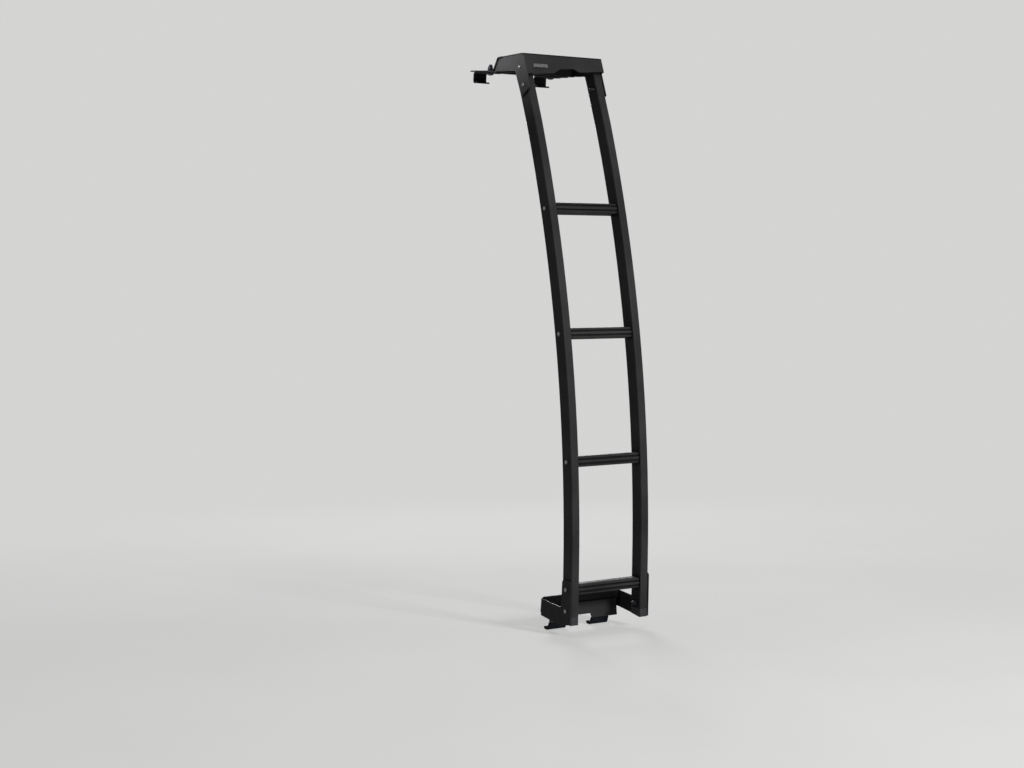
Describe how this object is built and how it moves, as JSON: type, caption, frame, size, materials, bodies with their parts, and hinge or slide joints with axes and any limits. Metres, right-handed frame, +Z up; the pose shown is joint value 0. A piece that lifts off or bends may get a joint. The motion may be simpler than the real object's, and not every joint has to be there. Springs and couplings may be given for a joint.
{
  "type": "van rear door ladder",
  "caption": "Bowed black ladder for a van's rear door, with box rails, fluted rungs, a folded roof bracket that clamps the upper door edge and a foot bracket with rubber hooks.",
  "frame": {"origin": "middle of the foot bracket's rubber face that bears on the door", "axes": "+X right seen from behind the vehicle, +Y forward to the door, +Z up"},
  "size_m": [0.269, 0.4427, 1.5058],
  "materials": {
    "black_coat": "satin powder coat",
    "black_plastic": "matte",
    "black_rubber": "matte",
    "dark_steel": "satin"
  },
  "bodies": {
    "root": {"blank_plate": "dark_steel", "clamp_left": "black_coat", "clamp_right": "black_coat", "door_pad": "black_rubber", "foot_bracket": "black_coat", "hook_plate": "black_coat", "hook_sleeve_left": "black_rubber", "hook_sleeve_right": "black_rubber", "rail_foot_left": "black_plastic", "rail_foot_right": "black_plastic", "rail_left": "black_coat", "rail_plug_left": "black_plastic", "rail_plug_right": "black_plastic", "rail_right": "black_coat", "roof_bracket": "black_coat", "roof_pad": "black_rubber", "roof_plate": "black_coat", "rung_1": "black_coat", "rung_2": "black_coat", "rung_3": "black_coat", "rung_4": "black_coat"}
  },
  "joints": []
}
